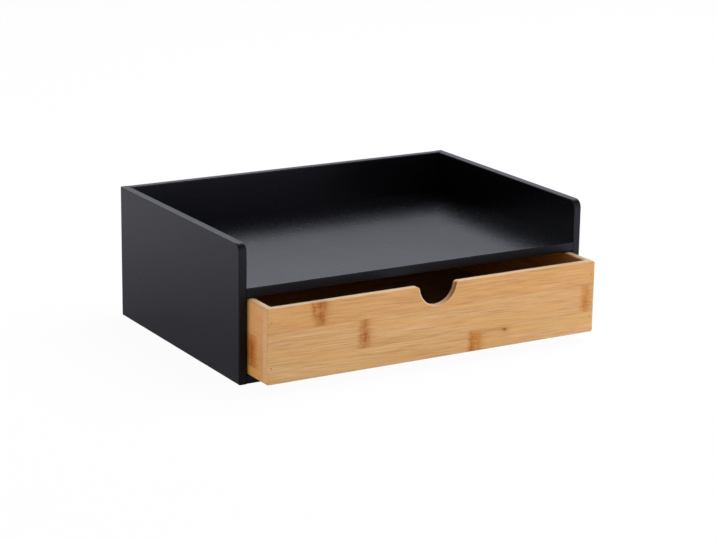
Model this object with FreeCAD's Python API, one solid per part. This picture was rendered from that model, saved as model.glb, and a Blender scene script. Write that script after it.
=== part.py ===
import FreeCAD, Part
import os

# A desk organizer: a painted cabinet of boards with an open tray on top, and a bamboo drawer
# that slides on the cabinet's bottom board. Millimetres, +X right, +Y to the back, +Z up.
# The origin is the middle of the cabinet's footprint, on the surface that it stands on.

# --- Cabinet ---------------------------------------------------------------------------------
cabinet_width = 370.0
cabinet_depth = 250.0
cabinet_height = 130.0
upright_thickness = 8.0     # side panels and back panel
deck_thickness = 9.0        # tray shelf and bottom board
bay_height = 71.0           # clear height of the drawer's bay
front_corner_radius = 8.0   # front top corner of each side panel
board_edge_radius = 1.0     # softened edges of the painted boards

# --- Dowels that hold the cabinet's boards ---------------------------------------------------
dowel_diameter = 5.0
dowel_in_upright = 5.0      # depth in the face of a side or back panel
dowel_in_edge = 15.0        # depth in the end or edge of the board that meets it
dowel_glue_gap = 0.05       # round each dowel
dowel_end_gap = 0.5         # past each end of a dowel
dowel_inset = 30.0          # from the ends of a joint to its first and last dowel
dowels_per_deck_end = 3
dowels_per_deck_rear = 3
dowels_per_back_end = 2

# --- Drawer ----------------------------------------------------------------------------------
drawer_wall = 8.0
drawer_side_gap = 0.5       # each side of the drawer, in its bay
drawer_under_gap = 0.2
drawer_over_gap = 0.8
drawer_rear_gap = 1.0       # behind the drawer when it is closed
drawer_pulled_out = 37.4    # how far the drawer stands open at rest
top_corner_radius = 2.5     # outer top edges of the drawer, front to back
low_corner_radius = 1.5     # outer lower edges of the drawer, front to back
face_edge_radius = 1.2      # outer edges of the front and back boards' faces
rim_radius = 2.0            # the drawer's inner top edges, all round
notch_radius = 20.0         # finger notch, centred on the front's top edge
notch_lip_radius = 3.4      # where the notch meets the front's top edge

floor_thickness = 3.0       # the drawer's bottom panel
floor_lift = 6.0            # from the drawer's lower edge to the panel's underside
groove_depth = 4.0
groove_gap = 0.1            # over, under and past the edges of the bottom panel

# --- Brad nails that hold the drawer's corners -----------------------------------------------
brad_length = 25.0
brad_diameter = 1.2
brad_head_diameter = 1.9
brad_head_height = 0.6
brad_hole_gap = 0.03
top_brad_inset = 13.0       # down from the drawer's top edge
low_brad_inset = 15.4       # up from the drawer's lower edge

# --- Worked out from the values above --------------------------------------------------------
half_width = cabinet_width / 2
inner_half_width = half_width - upright_thickness
front_y = -cabinet_depth / 2
rear_y = cabinet_depth / 2
back_inner_y = rear_y - upright_thickness
shelf_low_z = deck_thickness + bay_height

drawer_half_width = inner_half_width - drawer_side_gap
drawer_inner_half_width = drawer_half_width - drawer_wall
drawer_front_y = front_y - drawer_pulled_out
drawer_rear_y = back_inner_y - drawer_rear_gap - drawer_pulled_out
drawer_inner_front_y = drawer_front_y + drawer_wall
drawer_inner_rear_y = drawer_rear_y - drawer_wall
drawer_low_z = deck_thickness + drawer_under_gap
drawer_top_z = shelf_low_z - drawer_over_gap
floor_low_z = drawer_low_z + floor_lift
floor_top_z = floor_low_z + floor_thickness

ORIGIN = FreeCAD.Vector(0, 0, 0)
RIGHT = FreeCAD.Vector(1, 0, 0)
LEFT = FreeCAD.Vector(-1, 0, 0)
BACKWARD = FreeCAD.Vector(0, 1, 0)
FORWARD = FreeCAD.Vector(0, -1, 0)
NEAR = 0.001                # slack when an edge is looked up by its place


def block(xs, ys, zs):
    """A box between two planes on each axis, each pair given as (low, high)."""
    corner = FreeCAD.Vector(xs[0], ys[0], zs[0])
    return Part.makeBox(xs[1] - xs[0], ys[1] - ys[0], zs[1] - zs[0], corner)


def edges_in(shape, xs, ys, zs):
    """The shape's edges that lie inside a box, whose pairs may name one plane or line."""
    reach = FreeCAD.BoundBox(xs[0] - NEAR, ys[0] - NEAR, zs[0] - NEAR,
                             xs[1] + NEAR, ys[1] + NEAR, zs[1] + NEAR)
    return [edge for edge in shape.Edges if reach.isInside(edge.BoundBox)]


def with_mirror_images(shapes):
    """The shapes and their copies on the other side of the middle plane."""
    return shapes + [shape.mirror(ORIGIN, RIGHT) for shape in shapes]


def evenly(first, last, count):
    step = (last - first) / (count - 1)
    return [first + step * i for i in range(count)]


# --- Dowel joints: each is a point on the upright's face and the way into the other board ------
def deck_end_joints(low_z):
    """A shelf's or bottom board's joints with the right side panel."""
    z = low_z + deck_thickness / 2
    places = evenly(front_y + dowel_inset, back_inner_y - dowel_inset, dowels_per_deck_end)
    return [(FreeCAD.Vector(inner_half_width, y, z), LEFT) for y in places]


def deck_rear_joints(low_z):
    """A shelf's or bottom board's joints with the back panel."""
    z = low_z + deck_thickness / 2
    reach = inner_half_width - dowel_inset
    places = evenly(-reach, reach, dowels_per_deck_rear)
    return [(FreeCAD.Vector(x, back_inner_y, z), FORWARD) for x in places]


def back_end_joints():
    """The back panel's joints with the right side panel."""
    y = rear_y - upright_thickness / 2
    places = evenly(dowel_inset, cabinet_height - dowel_inset, dowels_per_back_end)
    return [(FreeCAD.Vector(inner_half_width, y, z), LEFT) for z in places]


def dowels(joints):
    length = dowel_in_upright + dowel_in_edge
    return [Part.makeCylinder(dowel_diameter / 2, length, point - inward * dowel_in_upright, inward)
            for point, inward in joints]


def dowel_holes(joints):
    radius = dowel_diameter / 2 + dowel_glue_gap
    depth = dowel_in_upright + dowel_end_gap
    length = depth + dowel_in_edge + dowel_end_gap
    return [Part.makeCylinder(radius, length, point - inward * depth, inward)
            for point, inward in joints]


# --- Cabinet boards --------------------------------------------------------------------------
def right_side_panel():
    """A full-depth upright, rounded at its front top corner and softened along its edges."""
    ys = (front_y, rear_y)
    zs = (0, cabinet_height)
    panel = block((inner_half_width, half_width), ys, zs)
    corner = edges_in(panel, (inner_half_width, half_width), (front_y, front_y),
                      (cabinet_height, cabinet_height))
    panel = panel.makeFillet(front_corner_radius, corner)
    outer_edges = edges_in(panel, (half_width, half_width), ys, zs)
    inner_edges = [edge for edge in edges_in(panel, (inner_half_width, inner_half_width), ys, zs)
                   if edge.BoundBox.YMin < rear_y - NEAR and edge.BoundBox.ZMax > NEAR]
    panel = panel.makeFillet(board_edge_radius, outer_edges + inner_edges)
    joints = deck_end_joints(0) + deck_end_joints(shelf_low_z) + back_end_joints()
    return panel.cut(dowel_holes(joints))


def back_panel():
    """A full-height upright between the side panels, flush with their tops."""
    xs = (-inner_half_width, inner_half_width)
    panel = block(xs, (back_inner_y, rear_y), (0, cabinet_height))
    for y in (back_inner_y, rear_y):
        top_edge = edges_in(panel, xs, (y, y), (cabinet_height, cabinet_height))
        panel = panel.makeFillet(board_edge_radius, top_edge)
    holes = with_mirror_images(dowel_holes(back_end_joints()))
    holes += dowel_holes(deck_rear_joints(0) + deck_rear_joints(shelf_low_z))
    return panel.cut(holes)


def deck(low_z):
    """A lying board inside the uprights: the tray shelf or the bottom board."""
    xs = (-inner_half_width, inner_half_width)
    board = block(xs, (front_y, back_inner_y), (low_z, low_z + deck_thickness))
    for z in (low_z, low_z + deck_thickness):
        front_edge = edges_in(board, xs, (front_y, front_y), (z, z))
        board = board.makeFillet(board_edge_radius, front_edge)
    holes = with_mirror_images(dowel_holes(deck_end_joints(low_z)))
    return board.cut(holes + dowel_holes(deck_rear_joints(low_z)))


# --- Drawer ----------------------------------------------------------------------------------
def brads(face_y, inward, gap=0.0):
    """Nails driven flush into one end of the drawer, two a corner. With a gap, their holes."""
    x = drawer_half_width - drawer_wall / 2
    nails = []
    for z in (drawer_low_z + low_brad_inset, drawer_top_z - top_brad_inset):
        start = FreeCAD.Vector(x, face_y, z)
        shank = Part.makeCylinder(brad_diameter / 2 + gap, brad_length + gap, start, inward)
        head = Part.makeCylinder(brad_head_diameter / 2 + gap, brad_head_height + gap, start, inward)
        nails.append(shank.fuse(head))
    return with_mirror_images(nails)


def front_brads(gap=0.0):
    return brads(drawer_front_y, BACKWARD, gap)


def rear_brads(gap=0.0):
    return brads(drawer_rear_y, FORWARD, gap)


def bottom_panel(gap=0.0):
    """The thin panel held in the drawer's grooves. With a gap, the space that the grooves leave."""
    inset = groove_depth - groove_gap + gap
    reach = drawer_inner_half_width + inset
    return block((-reach, reach), (drawer_inner_front_y - inset, drawer_inner_rear_y + inset),
                 (floor_low_z - gap, floor_top_z + gap))


def end_board(ys):
    """A board over the ends of the drawer's sides, with the rounded corners of the whole drawer."""
    board = block((-drawer_half_width, drawer_half_width), ys, (drawer_low_z, drawer_top_z))
    for z, radius in ((drawer_low_z, low_corner_radius), (drawer_top_z, top_corner_radius)):
        for x in (-drawer_half_width, drawer_half_width):
            board = board.makeFillet(radius, edges_in(board, (x, x), ys, (z, z)))
    return board


def softened(board, face_y):
    """The board with all edges of the face at face_y rounded over."""
    edges = edges_in(board, (-drawer_half_width, drawer_half_width), (face_y, face_y),
                     (drawer_low_z, drawer_top_z))
    return board.makeFillet(face_edge_radius, edges)


def rim_waste():
    """What rounding the drawer's inner top edges takes off its four boards, mitred in the corners."""
    reach = drawer_inner_half_width + rim_radius
    ys = (drawer_inner_front_y - rim_radius, drawer_inner_rear_y + rim_radius)
    z = drawer_top_z - rim_radius
    waste = block((-reach, reach), ys, (z, drawer_top_z))
    across = [Part.makeCylinder(rim_radius, 2 * reach, FreeCAD.Vector(-reach, y, z), RIGHT)
              for y in ys]
    along = [Part.makeCylinder(rim_radius, ys[1] - ys[0], FreeCAD.Vector(x, ys[0], z), BACKWARD)
             for x in (-reach, reach)]
    return waste.cut(across + along)


def notched(ys):
    """A plain board with the finger notch, its lips rounded and the rim's rounding led through it."""
    middle = FreeCAD.Vector(0, ys[0], drawer_top_z)
    zs = (drawer_low_z, drawer_top_z)
    reach = notch_radius + 3 * notch_lip_radius
    centre = block((-reach, reach), ys, zs)
    centre = centre.cut(Part.makeCylinder(notch_radius, ys[1] - ys[0], middle, BACKWARD))
    for x in (-notch_radius, notch_radius):
        lip = edges_in(centre, (x, x), ys, (drawer_top_z, drawer_top_z))
        centre = centre.makeFillet(notch_lip_radius, lip)
    inner_edge = edges_in(centre, (-reach, reach), (ys[1], ys[1]),
                          (drawer_top_z - notch_radius, drawer_top_z))
    centre = centre.makeFillet(rim_radius, inner_edge)
    end = block((reach, drawer_half_width), ys, zs).cut(rim_waste())
    return centre.fuse(with_mirror_images([end])).removeSplitter()


def drawer_front():
    ys = (drawer_front_y, drawer_inner_front_y)
    board = softened(end_board(ys), drawer_front_y).common(notched(ys))
    return board.cut([bottom_panel(groove_gap)] + front_brads(brad_hole_gap))


def drawer_back():
    board = softened(end_board((drawer_inner_rear_y, drawer_rear_y)), drawer_rear_y)
    return board.cut([rim_waste(), bottom_panel(groove_gap)] + rear_brads(brad_hole_gap))


def drawer_right_side():
    """A board between the drawer's front and back, with a groove for the bottom panel."""
    ys = (drawer_inner_front_y, drawer_inner_rear_y)
    board = block((drawer_inner_half_width, drawer_half_width), ys, (drawer_low_z, drawer_top_z))
    for z, radius in ((drawer_low_z, low_corner_radius), (drawer_top_z, top_corner_radius)):
        outer_edge = edges_in(board, (drawer_half_width, drawer_half_width), ys, (z, z))
        board = board.makeFillet(radius, outer_edge)
    nails = front_brads(brad_hole_gap) + rear_brads(brad_hole_gap)
    return board.cut([rim_waste(), bottom_panel(groove_gap)] + nails)


# --- The whole object: one file for each piece or group of like fasteners ----------------------
def pieces():
    side_panel = right_side_panel()
    drawer_side = drawer_right_side()
    return {
        "right_side_panel": side_panel,
        "left_side_panel": side_panel.mirror(ORIGIN, RIGHT),
        "back_panel": back_panel(),
        "tray_shelf": deck(shelf_low_z),
        "bottom_board": deck(0),
        "shelf_side_dowels": Part.makeCompound(with_mirror_images(dowels(deck_end_joints(shelf_low_z)))),
        "bottom_side_dowels": Part.makeCompound(with_mirror_images(dowels(deck_end_joints(0)))),
        "back_side_dowels": Part.makeCompound(with_mirror_images(dowels(back_end_joints()))),
        "shelf_back_dowels": Part.makeCompound(dowels(deck_rear_joints(shelf_low_z))),
        "bottom_back_dowels": Part.makeCompound(dowels(deck_rear_joints(0))),
        "drawer_front": drawer_front(),
        "drawer_right_side": drawer_side,
        "drawer_left_side": drawer_side.mirror(ORIGIN, RIGHT),
        "drawer_back": drawer_back(),
        "drawer_bottom": bottom_panel(),
        "drawer_front_brads": Part.makeCompound(front_brads()),
        "drawer_back_brads": Part.makeCompound(rear_brads()),
    }


os.makedirs("parts", exist_ok=True)
for name, piece in pieces().items():
    piece.exportStep(os.path.join("parts", name + ".step"))
    print(f"{name:20s} solids {len(piece.Solids)}  valid {piece.isValid()}  {piece.Volume / 1000:.2f} cm3")
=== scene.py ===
"""Desk organizer with an open tray over one drawer: finishes, fastenings, floor, lights, camera.

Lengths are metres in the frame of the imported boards. Patterns in the finishes are worked out in
millimetres. Colours are linear shares of red, green and blue.
"""

import math

import bmesh
import bpy
from mathutils import Matrix, Vector


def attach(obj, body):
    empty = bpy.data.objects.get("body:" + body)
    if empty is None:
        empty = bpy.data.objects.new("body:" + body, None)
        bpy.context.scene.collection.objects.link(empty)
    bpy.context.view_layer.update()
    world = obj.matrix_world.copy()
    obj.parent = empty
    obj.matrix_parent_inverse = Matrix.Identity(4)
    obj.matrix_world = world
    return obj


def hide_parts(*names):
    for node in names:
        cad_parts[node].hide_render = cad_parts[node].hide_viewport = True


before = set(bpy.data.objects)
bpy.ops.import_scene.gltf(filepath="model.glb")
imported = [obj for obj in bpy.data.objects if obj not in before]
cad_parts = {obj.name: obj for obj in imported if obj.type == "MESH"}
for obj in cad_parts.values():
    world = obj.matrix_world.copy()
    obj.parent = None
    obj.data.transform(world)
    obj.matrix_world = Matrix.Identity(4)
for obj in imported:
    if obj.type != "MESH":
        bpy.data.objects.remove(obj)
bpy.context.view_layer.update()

MM = 0.001
SHARP_ANGLE = 0.6  # radians between two faces, past which their edge shows
SAME_POINT = 0.001 * MM  # corners of one solid that are nearer than this are one corner
SURFACE_IOR = 1.5  # of paint, lacquer and bare wood alike

# ---------------------------------------------------------------- camera
CAMERA_PLACE = (-1.045331, -1.784076, 0.623964)
CAMERA_TURN = 30.623  # degrees to the right of straight ahead
CAMERA_DIP = 15.437  # degrees below level
CAMERA_ROLL = 0.841  # degrees
CAMERA_LENS = 110.58  # focal length, in the sensor's unit
CAMERA_SENSOR = 36.0  # width of the sensor
CAMERA_CLIP = (0.05, 50.0)  # how near and how far off things are seen

# ---------------------------------------------------------------- lights and floor
# for each soft lamp: where it hangs, its width and height, and its power in watts
LAMPS = {
    "high_softbox": ((1.3, 0.1, 2.2), (2.0, 2.0), 76.0),
    "front_softbox": ((1.2, -2.5, 0.17), (2.0, 0.3), 33.0),
    "left_softbox": ((-2.3, 0.7, 0.10), (2.2, 0.16), 33.0),
}
LAMP_AIM = (0.0, 0.0, 0.06)  # the middle of the organizer
FILL_LIGHT = 0.18  # what the white surroundings give to matt surfaces
PANEL_WAY = (0.51, 0.86)  # level direction of the bright panel behind the organizer
PANEL_LIGHT = 2.8  # how bright that panel is in mirror rays
FLOOR_HALF = 6.0  # from the floor's middle to its edge
FLOOR_DROP = 0.2 * MM  # just clear of the boards' lower edges
FLOOR_WHITE = 1.005  # glow of the floor where it is seen
WHITE = (1.0, 1.0, 1.0)

# ---------------------------------------------------------------- colours of the finishes
PAINT = {
    "deep": (0.0012, 0.0012, 0.0016),
    "pale": (0.0026, 0.0025, 0.0032),
    "sawn edge": (0.0050, 0.0048, 0.0055),
    "dust": (0.04, 0.04, 0.045),
}
BAMBOO = {
    "honey": (0.655, 0.330, 0.102),
    "olive": (0.640, 0.385, 0.115),
    "rose": (0.720, 0.370, 0.185),
    "dash": (0.33, 0.150, 0.055),
    "halo": (0.560, 0.225, 0.050),
    "light knuckle": (0.560, 0.205, 0.020),
    "dark knuckle": (0.415, 0.120, 0.006),
    "ridge": (0.270, 0.070, 0.010),
    "second ridge": (0.480, 0.190, 0.045),
    "pin": (0.210, 0.060, 0.001),
    "pin glow": (0.470, 0.165, 0.018),
    "pin trail": (0.520, 0.200, 0.045),
    "glue": (0.30, 0.135, 0.05),
    "cut end": (0.66, 0.375, 0.195),
    "pore": (0.38, 0.18, 0.085),
    "sawn face": (0.470, 0.420, 0.300),
    # notch wall: the pink is a painted highlight of its rounded rear edge; the scorch is the
    # saw's
    "notch": (0.840, 0.525, 0.380),
    "scorch": (0.660, 0.270, 0.082),
    # painted highlight of the notch's rounded front edge
    "lip highlight": (0.760, 0.600, 0.430),
}
# from the darkest fibres to the palest: value of the noise, and the colour there
BAMBOO_FIBRES = (
    (0.37, (0.480, 0.214, 0.060)),
    (0.47, (0.572, 0.300, 0.110)),
    (0.53, (0.622, 0.343, 0.140)),
    (0.63, (0.700, 0.425, 0.198)),
)
PLY_FIBRES = (
    (0.30, (0.50, 0.315, 0.165)),
    (0.55, (0.62, 0.43, 0.245)),
    (0.75, (0.70, 0.52, 0.32)),
)
PLY_INNER_LAYER = (0.30, 0.17, 0.08)
BEECH_FIBRES = (
    (0.3, (0.50, 0.30, 0.17)),
    (0.7, (0.66, 0.44, 0.27)),
)
BEECH_FLECK = (0.30, 0.15, 0.08)
BRAD_RESIN = (0.58, 0.27, 0.095)
BRAD_STAIN = (0.48, 0.19, 0.052)
FLOOR_MATT = (0.84, 0.85, 0.89)
# painted shadow and painted patch of light on the floor, in mirror rays only
FLOOR_NEAR_SHADE = (0.320, 0.312, 0.355)  # in mirror rays, at the organizer's foot
FLOOR_FAR = (0.750, 0.735, 0.830)  # in mirror rays, away from it
FLOOR_AHEAD_LIGHT = (1.00, 0.98, 1.08)  # added to both at the front right
COOL_MIRROR = (0.87, 0.90, 1.0)  # the surroundings in mirror rays

# ---------------------------------------------------------------- boards of the cabinet
# the two axes that each board's sawn edges face
PAINTED_BOARDS = {
    "left_side_panel": "YZ",
    "right_side_panel": "YZ",
    "back_panel": "XZ",
    "tray_shelf": "XY",
    "bottom_board": "XY",
}

# ---------------------------------------------------------------- boards of the drawer
# Strips of bamboo from the bottom up, in millimetres.
# lines: the height of each glue line; then, for each strip,
# knuckles: where its first knuckle stands along the grain,
# spacings: how far off the next one is,
# widths: half the knuckle's width at the strip's foot,
# flares: how much of that it gains for each millimetre up,
# tints: its own tint,
# depths: how dark its knuckles are,
# cores: how far off a knuckle's middle its darkest line is; and for the whole board,
# soft: how gently its knuckles fade out sideways,
# warmth: how far its honey-coloured areas go towards orange.
FRONT_STRIPS = {
    "lines": (29.8, 56.6),
    "knuckles": (41.8, -77.5, -124.0),
    "spacings": (270.0, 244.5, 310.0),
    "widths": (6.9, 5.6, 4.8),
    "flares": (-0.02, -0.05, 0.15),
    "tints": ((1.055, 1.125, 1.18), (1.05, 1.10, 1.17), (1.035, 1.008, 0.95)),
    "depths": (1.3, 0.95, 1.2),
    "cores": (-4.2, 0.2, 1.4),
    "soft": 1.0,
    "warmth": 0.5,
}
FRONT_PIN = (74.5, 25.8)  # middle of its one pin knot, along the grain and in height
FRONT_NOTCH = (20.0, 79.2, -158.4)  # radius, height of its middle, and the scorch's far end in Y
LEFT_STRIPS = {
    "lines": (19.0, 49.0),
    "knuckles": (20.0, -131.0, -20.0),
    "spacings": (230.0, 215.0, 250.0),
    "widths": (6.0, 9.0, 5.0),
    "flares": (0.1, -0.03, 0.1),
    "tints": ((1.0, 0.90, 0.72), (0.94, 0.87, 0.82), (0.96, 0.89, 0.92)),
    "depths": (0.8, 1.5, 0.9),
    "cores": (0.5, -2.0, 1.0),
    "soft": 2.3,
    "warmth": 1.0,
}
RIGHT_STRIPS = {
    "lines": (26.0, 53.0),
    "knuckles": (-60.0, 35.0, -5.0),
    "spacings": (240.0, 260.0, 225.0),
    "widths": (7.0, 4.5, 7.0),
    "flares": (-0.1, 0.08, 0.0),
    # the top strip's darker, redder tint is painted shade for the inside of the drawer; it
    # darkens the strip's outer face too
    "tints": ((0.97, 0.93, 0.87), (0.97, 0.93, 0.87), (0.84, 0.69, 0.56)),
    "depths": (1.0, 0.8, 1.1),
    "cores": (-1.0, 2.0, -2.5),
    "soft": 1.3,
    "warmth": 0.7,
}
BACK_STRIPS = {
    "lines": (33.0, 60.0),
    "knuckles": (-96.0, 118.0, 12.0),
    "spacings": (265.0, 250.0, 280.0),
    "widths": (5.0, 7.5, 4.5),
    "flares": (0.04, -0.06, 0.12),
    "tints": ((1.0, 1.03, 1.05), (0.97, 0.95, 0.92), (1.0, 1.0, 1.0)),
    "depths": (0.9, 1.1, 1.0),
    "cores": (1.5, -3.0, 0.0),
    "soft": 1.2,
    "warmth": 0.5,
}


class Wire:
    """One output of a node. Arithmetic on it adds Math nodes."""

    def __init__(self, recipe, socket):
        self.recipe = recipe
        self.socket = socket

    def math(self, operation, *values):
        """A Math node on one or two wires or plain numbers."""
        inputs = dict(zip(("Value", "Value_001"), values))
        return self.recipe.node("ShaderNodeMath", {"operation": operation}, inputs)

    def __add__(self, other):
        return self.math("ADD", self, other)

    __radd__ = __add__

    def __sub__(self, other):
        return self.math("SUBTRACT", self, other)

    def __rsub__(self, other):
        return self.math("SUBTRACT", other, self)

    def __mul__(self, other):
        return self.math("MULTIPLY", self, other)

    __rmul__ = __mul__

    def __truediv__(self, other):
        return self.math("DIVIDE", self, other)

    def __pow__(self, other):
        return self.math("POWER", self, other)

    def __abs__(self):
        return self.math("ABSOLUTE", self)

    def __gt__(self, other):
        return self.math("GREATER_THAN", self, other)

    def __lt__(self, other):
        return self.math("LESS_THAN", self, other)

    def __mod__(self, other):
        return self.math("FLOORED_MODULO", self, other)

    def hump(self, width):
        """1 at zero, falling away to nothing over about twice the width on either side."""
        return self.math("EXPONENT", self * self * (-1.0 / width**2))

    def about(self, middle, gain):
        """A noise value, which lies about 0.5, stretched and moved to lie about that middle."""
        return (self - 0.5) * gain + middle

    def clamp(self):
        """Held between 0 and 1."""
        return self.math("MINIMUM", self.math("MAXIMUM", self, 0.0), 1.0)


class Recipe:
    """A node tree whose outputs take part in plain arithmetic."""

    def __init__(self, tree):
        self.tree = tree
        self.tree.nodes.clear()

    def node(self, kind, settings=None, inputs=None, output=0):
        """Adds a node: settings first, then the values or wires of its sockets."""
        made = self.tree.nodes.new(kind)
        for key, value in (settings or {}).items():
            if key == "stops":
                self.set_stops(made.color_ramp, value)
            else:
                setattr(made, key, value)
        for key, value in (inputs or {}).items():
            socket = self.socket(made.inputs, key)
            if isinstance(value, Wire):
                self.tree.links.new(value.socket, socket)
            else:
                socket.default_value = value
        return Wire(self, self.socket(made.outputs, output)) if made.outputs else made

    def socket(self, sockets, key):
        """The socket with that identifier, name or number."""
        if isinstance(key, int):
            return sockets[key]
        return next(socket for socket in sockets if key in (socket.identifier, socket.name))

    def set_stops(self, ramp, stops):
        """Gives a colour ramp its places and colours."""
        while len(ramp.elements) < len(stops):
            ramp.elements.new(1.0)
        for element, (place, colour) in zip(ramp.elements, stops):
            element.position = place
            element.color = (*colour, 1.0)

    def outputs(self, made, *keys):
        """More outputs of a node that is already there."""
        sockets = made.socket.node.outputs
        return [Wire(self, self.socket(sockets, key)) for key in keys]

    def scale(self, vector, factor):
        """A vector times a number."""
        return self.node(
            "ShaderNodeVectorMath",
            {"operation": "SCALE"},
            {"Vector": vector, "Scale": factor},
        )

    def split(self, vector):
        """The three parts of a vector, as three wires."""
        made = self.node("ShaderNodeSeparateXYZ", inputs={"Vector": vector})
        return self.outputs(made, 0, 1, 2)

    def join(self, x, y, z):
        """A vector from three wires or plain numbers."""
        return self.node("ShaderNodeCombineXYZ", inputs={"X": x, "Y": y, "Z": z})

    def rise(self, value, low, high):
        """0 below low, 1 above high, smooth between them."""
        return self.node(
            "ShaderNodeMapRange",
            {"interpolation_type": "SMOOTHSTEP"},
            {"Value": value, "From Min": low, "From Max": high},
        )

    def mix(self, factor, first, second, blend="MIX"):
        """Colours mixed; a plain colour is three numbers."""
        pair = [c if isinstance(c, Wire) else (*c, 1.0) for c in (first, second)]
        return self.node(
            "ShaderNodeMix",
            {"data_type": "RGBA", "blend_type": blend, "clamp_factor": True},
            {"Factor_Float": factor, "A_Color": pair[0], "B_Color": pair[1]},
            output="Result_Color",
        )

    def rays(self):
        """Camera, mirror and glass rays, as three wires of 0 or 1."""
        kinds = ("Is Camera Ray", "Is Glossy Ray", "Is Transmission Ray")
        return self.outputs(self.node("ShaderNodeLightPath"), *kinds)


class Finish(Recipe):
    """The recipe of a material that reads where on the object it lies."""

    def __init__(self, name):
        self.material = bpy.data.materials.new(name)
        self.material.use_nodes = True
        super().__init__(self.material.node_tree)

    def place(self):
        """The point of the surface in millimetres, as three wires."""
        metres = self.node("ShaderNodeTexCoord", output="Object")
        return self.split(self.scale(metres, 1.0 / MM))

    def facing(self):
        """The direction that the surface faces, as three wires."""
        return self.split(self.node("ShaderNodeTexCoord", output="Normal"))

    def noise(self, x, y, z, detail=2.0, roughness=0.5):
        """Soft random value about 0.5; the wires are already divided by the pattern's size."""
        vector = self.join(x, y, z)
        return self.node(
            "ShaderNodeTexNoise",
            {"noise_dimensions": "3D"},
            {"Vector": vector, "Scale": 1.0, "Detail": detail, "Roughness": roughness},
        )

    def spots(self, x, y, z):
        """Distance to the nearest of scattered points, divided in the same way."""
        return self.node(
            "ShaderNodeTexVoronoi",
            {"voronoi_dimensions": "3D", "feature": "F1"},
            {"Vector": self.join(x, y, z), "Scale": 1.0},
            output="Distance",
        )

    def ramp(self, value, stops):
        """The colour that the stops give to the value."""
        return self.node("ShaderNodeValToRGB", {"stops": stops}, {"Fac": value})

    def colour(self, red, green, blue):
        """A colour from three wires."""
        return self.node(
            "ShaderNodeCombineColor", inputs={"Red": red, "Green": green, "Blue": blue}
        )

    def bump(self, height, depth, strength):
        """A surface direction from a height of 0 to 1 that stands for depth in millimetres."""
        return self.node(
            "ShaderNodeBump",
            inputs={"Strength": strength, "Distance": depth * MM, "Height": height},
        )

    def shade(self, **sockets):
        """Ends the finish with one Principled shader; underscores stand for spaces."""
        inputs = {key.replace("_", " "): value for key, value in sockets.items()}
        inputs["IOR"] = SURFACE_IOR
        self.end(self.node("ShaderNodeBsdfPrincipled", inputs=inputs))
        return self.material

    def blend(self, share, first, second):
        """Two shaders mixed; a share of 1 is all of the second."""
        return self.node(
            "ShaderNodeMixShader", inputs={"Fac": share, "Shader": first, "Shader_001": second}
        )

    def end(self, shader):
        """Makes that shader the material's surface."""
        self.node("ShaderNodeOutputMaterial", inputs={"Surface": shader})


def stair(height, lines, values):
    """One value between each line and the next, as a wire."""
    total = values[0]
    for line, low, high in zip(lines, values, values[1:]):
        total = (height > line) * (high - low) + total
    return total


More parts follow.
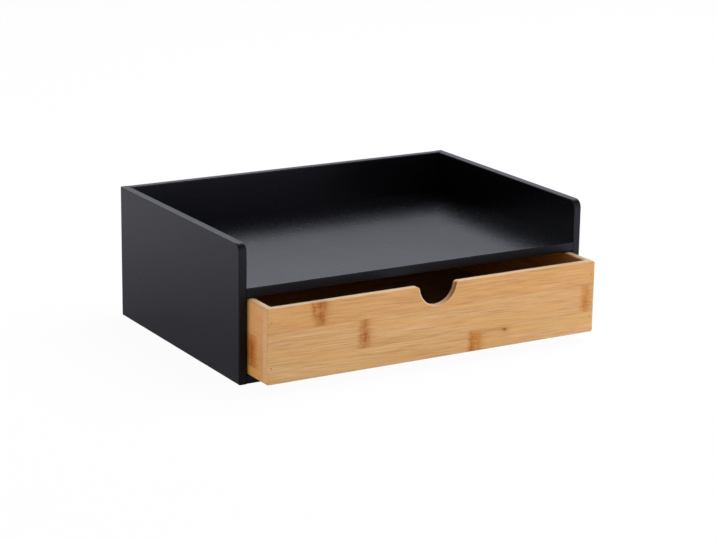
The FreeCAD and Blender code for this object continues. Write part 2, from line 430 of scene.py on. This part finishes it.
class Jig(Recipe):
    """A geometry node tree with named sizes that puts one turned piece on every mark."""

    SOCKETS = {float: "NodeSocketFloat", int: "NodeSocketInt"}

    def __init__(self, name, **sizes):
        super().__init__(bpy.data.node_groups.new(name, "GeometryNodeTree"))
        self.sizes = sizes
        face = self.tree.interface
        face.new_socket("marks", in_out="INPUT", socket_type="NodeSocketGeometry")
        for size, value in sizes.items():
            face.new_socket(size, in_out="INPUT", socket_type=self.SOCKETS[type(value)])
        face.new_socket("pieces", in_out="OUTPUT", socket_type="NodeSocketGeometry")
        self.entry = self.node("NodeGroupInput")

    def size(self, name):
        """A named input of the tree."""
        return self.outputs(self.entry, name)[0]

    def turned(self, steps, profile):
        """A closed solid along Z; each step is how far along it is and its radius there."""
        index = self.node("GeometryNodeInputIndex")
        lines = [k + 0.5 for k in range(len(steps) - 1)]
        along, radius = (stair(index, lines, values) for values in zip(*steps))
        points = self.node("GeometryNodeMeshLine", inputs={"Count": len(steps)})
        axis = self.node("GeometryNodeMeshToCurve", inputs={"Mesh": points})
        axis = self.node(
            "GeometryNodeSetPosition",
            inputs={"Geometry": axis, "Position": self.join(0.0, 0.0, along)},
        )
        solid = self.node(
            "GeometryNodeCurveToMesh",
            inputs={"Curve": axis, "Profile Curve": profile, "Scale": radius, "Fill Caps": True},
        )
        angle = self.node("GeometryNodeInputMeshEdgeAngle", output="Unsigned Angle")
        return self.node(
            "GeometryNodeSetShadeSmooth",
            {"domain": "EDGE"},
            {"Geometry": solid, "Shade Smooth": angle < SHARP_ANGLE},
        )

    def chance(self, low, high):
        """A random value for each mark, the same on every run."""
        return self.node(
            "FunctionNodeRandomValue",
            {"data_type": "FLOAT"},
            {"Min_001": low, "Max_001": high, "Seed": self.size("seed")},
            output="Value_001",
        )

    def set_on_marks(self, piece, material, depth):
        """Puts the piece on each mark, in the mark's direction, and ends the tree."""
        driven = self.node(
            "GeometryNodeInputNamedAttribute", {"data_type": "FLOAT_VECTOR"}, {"Name": "driven"}
        )
        marks = self.node(
            "GeometryNodeSetPosition",
            inputs={"Geometry": self.size("marks"), "Offset": self.scale(driven, depth)},
        )
        aim = self.node(
            "FunctionNodeAlignRotationToVector", {"axis": "Z"}, {"Vector": driven}
        )
        spin = self.node(
            "FunctionNodeAxisAngleToRotation", inputs={"Angle": self.chance(0.0, math.tau)}
        )
        turn = self.node(
            "FunctionNodeRotateRotation",
            {"rotation_space": "LOCAL"},
            {"Rotation": aim, "Rotate By": spin},
        )
        pieces = self.node(
            "GeometryNodeInstanceOnPoints",
            inputs={"Points": marks, "Instance": piece, "Rotation": turn},
        )
        pieces = self.node("GeometryNodeRealizeInstances", inputs={"Geometry": pieces})
        pieces = self.node(
            "GeometryNodeSetMaterial", inputs={"Geometry": pieces, "Material": material}
        )
        self.node("NodeGroupOutput", inputs={"pieces": pieces})

    def make(self, piece):
        """Runs the tree on an object of marks and leaves the result as its plain mesh."""
        modifier = piece.modifiers.new(self.tree.name, "NODES")
        modifier.node_group = self.tree
        for item in self.tree.interface.items_tree:
            if item.name in self.sizes:
                modifier[item.identifier] = self.sizes[item.name]
        ready = piece.evaluated_get(bpy.context.evaluated_depsgraph_get())
        mesh = bpy.data.meshes.new_from_object(ready)
        piece.modifiers.remove(modifier)
        shape = bmesh.new()
        shape.from_mesh(mesh)
        bmesh.ops.recalc_face_normals(shape, faces=shape.faces)
        shape.to_mesh(mesh)
        shape.free()
        # the marks leave an empty slot behind
        for k in reversed(range(len(mesh.materials))):
            if mesh.materials[k] is None:
                mesh.materials.pop(index=k)
        mesh.name = piece.name
        piece.data = mesh


# ---------------------------------------------------------------- finishes
def satin_black_paint(name, edges):
    """Sprayed satin black on fibreboard: a fine stipple, faint unevenness, rubs and dust.

    edges are the axes that the board's sawn edges face; they drink paint, so they dry greyer.
    """
    finish = Finish(name)
    x, y, z = finish.place()
    ways = dict(zip("XYZ", finish.facing()))
    sawn = sum(finish.rise(abs(ways[axis]), 0.80, 0.97) for axis in edges)
    stipple = finish.noise(x / 0.7, y / 0.7, z / 0.7, detail=3.0, roughness=0.6)
    cloud = finish.noise(x / 55.0, y / 55.0, z / 55.0, detail=3.0)
    scuff = finish.noise(x / 9.0 + 17.0, y / 9.0, z / 9.0, detail=4.0, roughness=0.7)
    rubbed = finish.rise(scuff, 0.52, 0.75)
    dust = finish.spots(x / 6.0, y / 6.0, z / 6.0)
    speck = 1.0 - finish.rise(dust, 0.035, 0.06)
    colour = finish.mix(cloud, PAINT["deep"], PAINT["pale"])
    colour = finish.mix(sawn * 0.2, colour, PAINT["sawn edge"])
    colour = finish.mix(speck * 0.03, colour, PAINT["dust"])
    return finish.shade(
        Base_Color=colour,
        Roughness=0.235 + 0.05 * cloud + 0.03 * rubbed + 0.02 * speck + 0.16 * sawn,
        Specular_IOR_Level=0.26,
        Specular_Tint=(0.85, 0.87, 1.0, 1.0),
        Normal=finish.bump(stipple, depth=0.06, strength=0.12),
    )


def pin_knot(finish, colour, along, above, striped):
    """One small dark knot in the colour, with a warm glow and a trail along the grain.

    along and above are the distances from the knot's middle.
    """
    dot = (along + above * 0.8).hump(1.9) * above.hump(1.0)
    trail = (along + 15.0).hump(16.0) * (above - 1.2).hump(1.8) * (striped * 0.6 + 0.5)
    glow = along.hump(6.0) * above.hump(2.6)
    colour = finish.mix((trail * 0.60).clamp(), colour, BAMBOO["pin trail"])
    colour = finish.mix(glow * 0.65, colour, BAMBOO["pin glow"])
    return finish.mix((dot * 1.2).clamp(), colour, BAMBOO["pin"])


def round_notch(finish, colour, place, ahead, notch):
    """The wall of a round cut in the top edge, scorched by the saw, with painted highlights and
    shade, and a painted highlight on its front lip.
    """
    x, y, z = place
    radius, middle, scorched = notch
    away = (x * x + (z - middle) * (z - middle)) ** 0.5
    front = finish.rise(ahead, -0.70, -0.95)
    wall = (1.0 - finish.rise(away, radius + 1.8, radius + 2.6)) * (1.0 - front)
    # pink towards the back of the wall, a painted highlight of its rounded rear edge; darker
    # orange-brown towards the front, the saw's scorch
    scorch = 1.0 - finish.rise(y, scorched - 1.2, scorched + 1.2)
    rosy_highlight_and_scorch = finish.mix(scorch, BAMBOO["notch"], BAMBOO["scorch"])
    # laid on more where the wall stands upright than on its upward-facing bottom: painted shade
    # on the upright sides
    side_shade = finish.rise(abs(x), 5.0, 14.0)
    colour = finish.mix(wall * (side_shade * 0.50 + 0.25), colour, rosy_highlight_and_scorch)
    # painted highlight where the rounded front edge of the notch catches light, stronger on its
    # left side
    lip = front * (1.0 - finish.rise(away, radius + 0.5, radius + 1.2))
    left = finish.rise(x, 6.0, -6.0)
    return finish.mix(lip * (left * 0.55 + 0.25), colour, BAMBOO["lip highlight"])


def laminated_bamboo(name, grain, strips, pin=None, notch=None):
    """Flat strips of caramel bamboo glued edge to edge and lacquered, with their knuckles.

    grain is the axis that the fibres run along, X or Y; the strips are stacked in height.
    pin is the place of one small dark pin knot, along the grain and in height.
    notch is a round cut in the top edge: its radius, the height of its middle, and how far back
    the saw's scorch goes.
    """
    finish = Finish(name)
    x, y, z = finish.place()
    run, thick = (x, y) if grain == "X" else (y, x)
    lines = strips["lines"]

    def by_strip(values):
        """The value of the strip that the point lies in."""
        return stair(z, lines, values)

    def drawn(level, length, width, *shifts, **settings):
        """Noise in lumps of that length along the grain and that width across it."""
        along = run / length
        for shift in shifts:
            along = along + shift
        return finish.noise(along, level / width, thick / width, **settings)

    number = by_strip((0.0, 1.0, 2.0))
    tint = finish.colour(*map(by_strip, zip(*strips["tints"])))
    first, spacing = by_strip(strips["knuckles"]), by_strip(strips["spacings"])
    depth, core = by_strip(strips["depths"]), by_strip(strips["cores"])
    up = z - by_strip((0.0, *lines))
    width = by_strip(strips["widths"]) + up * by_strip(strips["flares"])

    # distance along the grain from the nearest knuckle of this strip
    uneven = finish.noise(run / 40.0, z / 5.0, number * 3.7)
    lap = ((run - first) / spacing + 0.5) % 1.0 - 0.5
    off = lap * spacing + (uneven - 0.5) * 4.0
    near = off.hump(18.0)

    # fibres run nearly straight, sway a little, and bend round the knuckles
    sway = drawn(z, 95.0, 18.0, number * 5.3, detail=1.0)
    bend = drawn(z, 11.0, 7.0, number * 9.1, detail=1.0)
    high = z + run * 0.020 + (sway - 0.5) * 3.0 + (bend - 0.5) * near * 4.0
    shift = number * 31.7
    broad = drawn(high, 110.0, 4.2, shift)
    streak = drawn(high, 38.0, 1.15, shift, detail=3.0)
    fibre = drawn(high, 24.0, 0.5, shift, detail=3.0)
    hair = drawn(high, 5.0, 0.16, shift)
    mixed = broad * 0.17 + streak * 0.41 + fibre * 0.32 + hair * 0.10
    colour = finish.ramp(mixed, BAMBOO_FIBRES)

    # honey-coloured areas, then olive and rose streaks, then the strip's own tint
    warm = drawn(high, 60.0, 11.0, shift)
    spread = max(strips["warmth"] - 0.5, 0.0)
    honey = (finish.rise(warm, 0.44, 0.66) + spread).clamp()
    colour = finish.mix(honey * strips["warmth"], colour, BAMBOO["honey"])
    hue = drawn(high, 30.0, 1.7, shift, 70.0)
    colour = finish.mix(finish.rise(hue, 0.50, 0.70) * 0.35, colour, BAMBOO["olive"])
    colour = finish.mix(finish.rise(hue, 0.50, 0.30) * 0.35, colour, BAMBOO["rose"])
    colour = finish.mix(1.0, colour, tint, "MULTIPLY")

    # short brown dashes of the cut bundles
    dash = drawn(high, 7.0, 0.30, shift, 40.0, detail=1.0)
    dashes = finish.rise(dash, 0.64, 0.74)
    colour = finish.mix(dashes * 0.35, colour, BAMBOO["dash"])

    # knuckles: a mottled warm patch across the strip with upright ribs, a darker ridge in it, a
    # second one beside it and a faint halo round them
    blotch = drawn(z, 3.0, 2.2, shift, detail=3.0, roughness=0.65)
    stripe = drawn(high, 16.0, 0.8, shift)
    ribs = drawn(z, 1.9, 11.0, shift)
    fade = drawn(z, 12.0, 9.0, shift, 20.0, detail=0.0)
    cloudy = blotch.about(0.55, gain=2.4)
    striped = stripe.about(0.80, gain=1.6)
    ribbed = ribs.about(0.90, gain=1.3)
    faded = fade.about(0.95, gain=1.4)
    ragged = off + (stripe - 0.5) * 3.5 + (blotch - 0.5) * 4.0
    inner, outer = 2.2 * strips["soft"], 3.4 * strips["soft"]
    left_rim = finish.rise(ragged + width, -outer, inner)
    right_rim = 1.0 - finish.rise(ragged - width, -inner, outer)
    patch = left_rim * right_rim * faded
    blush = (patch * (cloudy * 0.60 + 0.50) * striped * ribbed * depth).clamp()
    sharp = finish.rise(run, -60.0, 60.0) * -0.75 + 1.0
    crisp = sharp * 0.6 + 0.4
    ridge = (off - core).hump(2.0) * (cloudy * 0.8 + 0.30) * faded * depth * crisp
    second = (ragged - width - 3.0).hump(3.2) * cloudy * striped * depth
    halo = (off - 3.0).hump(15.0) * striped * (depth - 0.2)
    knuckle = finish.mix(sharp, BAMBOO["light knuckle"], BAMBOO["dark knuckle"])
    colour = finish.mix((halo * 0.20).clamp(), colour, BAMBOO["halo"])
    colour = finish.mix(blush * 0.94, colour, knuckle)
    colour = finish.mix((ridge * 0.55).clamp(), colour, BAMBOO["ridge"])
    colour = finish.mix((second * 0.35).clamp(), colour, BAMBOO["second ridge"])
    if pin:
        colour = pin_knot(finish, colour, run - pin[0], z - pin[1], striped)

    # glue lines
    seam = (z - lines[0]).hump(0.16) + (z - lines[1]).hump(0.16)
    colour = finish.mix(seam * 0.30, colour, BAMBOO["glue"])

    # cut ends: pale rose with a close pattern of dots; sawn faces above and below are paler
    ways = finish.facing()
    cut = finish.rise(abs(ways[0 if grain == "X" else 1]), 0.72, 0.95)
    dots = finish.spots(thick / 0.75, z / 0.75, run / 8.0)
    pores = 1.0 - finish.rise(dots, 0.22, 0.42)
    end_colour = finish.mix(pores * 0.45, BAMBOO["cut end"], BAMBOO["pore"])
    colour = finish.mix(cut, colour, finish.mix(0.62, end_colour, colour))
    sawn = finish.rise(abs(ways[2]), 0.55, 0.95)
    colour = finish.mix(sawn * 0.50, colour, BAMBOO["sawn face"])
    if notch:
        colour = round_notch(finish, colour, (x, y, z), ways[1], notch)

    height = 0.55 * fibre + 0.3 * hair + 0.15 * streak - 0.35 * seam - 0.3 * dashes
    return finish.shade(
        Base_Color=colour,
        Roughness=0.47 + 0.10 * (fibre - 0.5) + 0.08 * cut + 0.06 * blush,
        Specular_IOR_Level=0.4,
        Normal=finish.bump(height, depth=0.12, strength=0.30),
    )


def thin_birch_ply():
    """Pale rotary-cut sheet for the drawer's bottom, grain from side to side."""
    finish = Finish("thin_birch_ply")
    x, y, z = finish.place()
    sway = finish.noise(x / 60.0, y / 30.0, 0.0)
    wavy = y + (sway - 0.5) * 22.0
    bands = finish.noise(x / 160.0, wavy / 7.0, z / 3.0, detail=3.0)
    fibre = finish.noise(x / 18.0, wavy / 0.6, z / 0.6, detail=3.0)
    colour = finish.ramp(bands * 0.65 + fibre * 0.35, PLY_FIBRES)
    flat = finish.rise(abs(finish.facing()[2]), 0.5, 0.8)
    inner_layer = z % 1.0 > 0.5
    colour = finish.mix((1.0 - flat) * inner_layer, colour, PLY_INNER_LAYER)
    return finish.shade(
        Base_Color=colour,
        Roughness=0.58 + 0.1 * fibre,
        Specular_IOR_Level=0.3,
        Normal=finish.bump(fibre, depth=0.10, strength=0.3),
    )


def turned_beech():
    """Beech dowel rod with short brown flecks."""
    finish = Finish("turned_beech")
    x, y, z = finish.place()
    grain = finish.noise(x / 4.0, y / 1.2, z / 1.2, detail=3.0)
    fleck = finish.noise(x / 2.0, y / 0.3, z / 0.3, detail=1.0)
    colour = finish.ramp(grain, BEECH_FIBRES)
    colour = finish.mix(finish.rise(fleck, 0.62, 0.7) * 0.5, colour, BEECH_FLECK)
    return finish.shade(
        Base_Color=colour,
        Roughness=0.6 + 0.15 * grain,
        Specular_IOR_Level=0.3,
        Normal=finish.bump(grain, depth=0.08, strength=0.4),
    )


def dull_brad_steel():
    """Brad wire dulled by resin and handling, brownish over the grey."""
    finish = Finish("dull_brad_steel")
    x, y, z = finish.place()
    stain = finish.noise(x / 0.9, y / 0.9, z / 0.9, detail=3.0)
    draw = finish.noise(x / 0.15, y / 3.0, z / 0.15)
    return finish.shade(
        Base_Color=finish.mix(finish.rise(stain, 0.35, 0.65), BRAD_RESIN, BRAD_STAIN),
        Metallic=0.08 + 0.12 * stain,
        Roughness=0.42 + 0.2 * draw,
        Normal=finish.bump(draw, depth=0.03, strength=0.4),
    )


# ---------------------------------------------------------------- floor, lights, camera
def lay_floor():
    """A pale floor that looks white and keeps a little of the shadow; from below it is clear.

    In mirror rays it dims towards the organizer's foot, a painted shadow, and is brightest at the
    front right, a painted patch of light.
    """
    mesh = bpy.data.meshes.new("floor")
    sides = ((-1.0, -1.0), (1.0, -1.0), (1.0, 1.0), (-1.0, 1.0))
    corners = [(x * FLOOR_HALF, y * FLOOR_HALF, -FLOOR_DROP) for x, y in sides]
    mesh.from_pydata(corners, [], [(0, 1, 2, 3)])
    floor = bpy.data.objects.new("floor", mesh)
    bpy.context.scene.collection.objects.link(floor)
    finish = Finish("pale_floor")
    camera, glossy, through = finish.rays()
    matt = finish.node("ShaderNodeBsdfDiffuse", inputs={"Color": (*FLOOR_MATT, 1.0)})
    x, y, _ = finish.place()
    # painted shadow near the organizer's foot and a painted patch of light at the front right, in
    # mirror rays only
    far = finish.rise((x * x + y * y) ** 0.5, 150.0, 750.0)
    ahead = finish.rise(x - y, 200.0, 900.0)
    painted_pool = finish.mix(ahead, finish.mix(far, FLOOR_NEAR_SHADE, FLOOR_FAR), FLOOR_AHEAD_LIGHT, "ADD")
    tone = finish.mix(glossy, WHITE, painted_pool)
    white = finish.node("ShaderNodeEmission", inputs={"Color": tone, "Strength": FLOOR_WHITE})
    share = ((camera + through) * 0.96 + glossy * 0.9).clamp()
    top = finish.blend(share, matt, white)
    below = finish.node("ShaderNodeNewGeometry", output="Backfacing")
    finish.end(finish.blend(below, top, finish.node("ShaderNodeBsdfTransparent")))
    mesh.materials.append(finish.material)


def light_world():
    """White all round where it is seen, and an even dim light on everything matt.

    In mirror rays it dims overhead and, low down, behind the organizer; above that dark band a
    soft panel behind the organizer is the brightest part.
    """
    world = bpy.data.worlds.new("studio")
    world.use_nodes = True
    bpy.context.scene.world = world
    sky = Recipe(world.node_tree)
    camera, glossy, through = sky.rays()
    x, y, height = sky.split(sky.node("ShaderNodeTexCoord", output="Generated"))
    overhead = sky.rise(height, 0.30, 0.90)
    behind = sky.rise(x * PANEL_WAY[0] + y * PANEL_WAY[1], 0.40, 0.75)
    panel = sky.rise(height, 0.27, 0.42)
    around = (1.05 - 0.75 * overhead) * (1.0 - behind * 0.76)
    mirrored = around + behind * panel * PANEL_LIGHT
    seen = (camera + through).clamp()
    strength = seen + glossy * (1.0 - seen) * mirrored
    strength = strength + (1.0 - (seen + glossy).clamp()) * FILL_LIGHT
    colour = sky.mix(glossy * (1.0 - seen), WHITE, COOL_MIRROR)
    dome = sky.node("ShaderNodeBackground", inputs={"Color": colour, "Strength": strength})
    sky.node("ShaderNodeOutputWorld", inputs={"Surface": dome})


def hang_lamp(name, place, size, watts):
    """A soft rectangular lamp that points at the organizer and isn't seen in reflections."""
    lamp = bpy.data.lights.new(name, "AREA")
    lamp.shape = "RECTANGLE"
    lamp.size, lamp.size_y = size
    lamp.energy = watts
    holder = bpy.data.objects.new(name, lamp)
    bpy.context.scene.collection.objects.link(holder)
    holder.location = place
    holder.visible_glossy = False
    line = Vector(LAMP_AIM) - Vector(place)
    holder.rotation_euler = line.to_track_quat("-Z", "Y").to_euler()


def set_camera():
    """The camera at its place, turned, dipped and rolled."""
    turn, dip, roll = map(math.radians, (CAMERA_TURN, CAMERA_DIP, CAMERA_ROLL))
    ahead = Vector(
        (math.sin(turn) * math.cos(dip), math.cos(turn) * math.cos(dip), -math.sin(dip))
    )
    right = Vector((math.cos(turn), -math.sin(turn), 0.0))
    up = right.cross(ahead)
    rolled_right = math.cos(roll) * right + math.sin(roll) * up
    rolled_up = math.cos(roll) * up - math.sin(roll) * right
    axes = Matrix((rolled_right, rolled_up, -ahead)).transposed()
    lens = bpy.data.cameras.new("camera")
    lens.sensor_fit = "HORIZONTAL"
    lens.sensor_width = CAMERA_SENSOR
    lens.lens = CAMERA_LENS
    lens.clip_start, lens.clip_end = CAMERA_CLIP
    camera = bpy.data.objects.new("camera", lens)
    bpy.context.scene.collection.objects.link(camera)
    camera.matrix_world = Matrix.Translation(CAMERA_PLACE) @ axes.to_4x4()
    bpy.context.scene.camera = camera


# ---------------------------------------------------------------- dressing the boards
def dress(node, material):
    """Gives one board its finish."""
    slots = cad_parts[node].data.materials
    slots.clear()
    slots.append(material)


for board, edges in PAINTED_BOARDS.items():
    dress(board, satin_black_paint("paint_on_" + board, edges))
dress(
    "drawer_front",
    laminated_bamboo("bamboo_front", "X", FRONT_STRIPS, pin=FRONT_PIN, notch=FRONT_NOTCH),
)
dress("drawer_left_side", laminated_bamboo("bamboo_left", "Y", LEFT_STRIPS))
dress("drawer_right_side", laminated_bamboo("bamboo_right", "Y", RIGHT_STRIPS))
dress("drawer_back", laminated_bamboo("bamboo_back", "X", BACK_STRIPS))
dress("drawer_bottom", thin_birch_ply())


# ---------------------------------------------------------------- fastenings
def solids(node):
    """Lowest and highest corner of each loose solid of a node, in a fixed order."""
    mesh = bmesh.new()
    mesh.from_mesh(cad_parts[node].data)
    bmesh.ops.remove_doubles(mesh, verts=mesh.verts, dist=SAME_POINT)
    boxes, left = [], set(mesh.verts)
    while left:
        front = [left.pop()]
        found = list(front)
        while front:
            joined = {edge.other_vert(v) for v in front for edge in v.link_edges}
            front = list(joined & left)
            left -= joined
            found += front
        places = list(zip(*(v.co for v in found)))
        boxes.append((Vector(map(min, places)), Vector(map(max, places))))
    mesh.free()
    return sorted(boxes, key=lambda box: tuple(round(c / MM, 1) for c in box[0]))


def mark_out(name, nodes):
    """An object with one vertex at the outer end of each fastening, and the way it is driven."""
    boxes = [box for node in nodes for box in solids(node)]
    middle = sum((low + high for low, high in boxes), Vector()) / (2 * len(boxes))
    starts, ways = [], []
    for low, high in boxes:
        centre, span = (low + high) / 2, high - low
        axis = max(range(3), key=lambda k: span[k])
        way = Vector((0.0, 0.0, 0.0))
        way[axis] = 1.0 if centre[axis] < middle[axis] else -1.0
        starts.append(centre - way * span[axis] / 2)
        ways.extend(way)
    mesh = bpy.data.meshes.new(name)
    mesh.from_pydata(starts, [], [])
    mesh.attributes.new("driven", "FLOAT_VECTOR", "POINT").data.foreach_set("vector", ways)
    marked = bpy.data.objects.new(name, mesh)
    bpy.context.scene.collection.objects.link(marked)
    return marked, max(span), min(span)


def drive_brads():
    """Eight wire brads: small flush heads, cone under the head, sharpened points."""
    nodes = ("drawer_front_brads", "drawer_back_brads")
    brads, length, head = mark_out("wire_brads", nodes)
    jig = Jig(
        "brad_jig",
        length=length,
        head=head,
        head_height=0.6 * MM,
        wire=1.2 * MM,
        point=2.2 * MM,
        set_depth=0.08 * MM,
        seed=3,
    )
    length, head, wire = jig.size("length"), jig.size("head") / 2, jig.size("wire") / 2
    rim = jig.size("head_height")
    circle = jig.node(
        "GeometryNodeCurvePrimitiveCircle", inputs={"Resolution": 20, "Radius": 1.0}
    )
    nail = jig.turned(
        [
            (0.0, head * 0.72),
            (rim * 0.12, head * 0.92),
            (rim * 0.30, head),
            (rim * 0.60, head),
            (rim, wire),
            (length - jig.size("point"), wire),
            (length, wire * 0.10),
        ],
        circle,
    )
    jig.set_on_marks(nail, dull_brad_steel(), jig.size("set_depth") * jig.chance(0.2, 1.0))
    jig.make(brads)
    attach(brads, "drawer")
    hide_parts(*nodes)


def drive_dowels():
    """The cabinet's beech dowels: straight glue flutes all round and chamfered ends."""
    nodes = (
        "bottom_side_dowels",
        "shelf_side_dowels",
        "bottom_back_dowels",
        "shelf_back_dowels",
        "back_side_dowels",
    )
    dowels, length, width = mark_out("fluted_dowels", nodes)
    jig = Jig(
        "dowel_jig",
        length=length,
        width=width,
        chamfer=0.8 * MM,
        flutes=16,
        flute_depth=0.07,
        seed=5,
    )
    length, radius = jig.size("length"), jig.size("width") / 2
    chamfer = jig.size("chamfer")
    fluted = jig.node(
        "GeometryNodeCurveStar",
        inputs={
            "Points": jig.size("flutes"),
            "Inner Radius": 1.0 - jig.size("flute_depth"),
            "Outer Radius": 1.0,
        },
    )
    pin = jig.turned(
        [
            (0.0, radius - chamfer * 0.6),
            (chamfer, radius),
            (length - chamfer, radius),
            (length, radius - chamfer * 0.6),
        ],
        fluted,
    )
    jig.set_on_marks(pin, turned_beech(), 0.0)
    jig.make(dowels)
    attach(dowels, "cabinet")
    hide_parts(*nodes)


drive_brads()
drive_dowels()

lay_floor()
light_world()
for lamp_name, (place, size, watts) in LAMPS.items():
    hang_lamp(lamp_name, place, size, watts)
set_camera()
bpy.context.scene.view_settings.view_transform = "Standard"
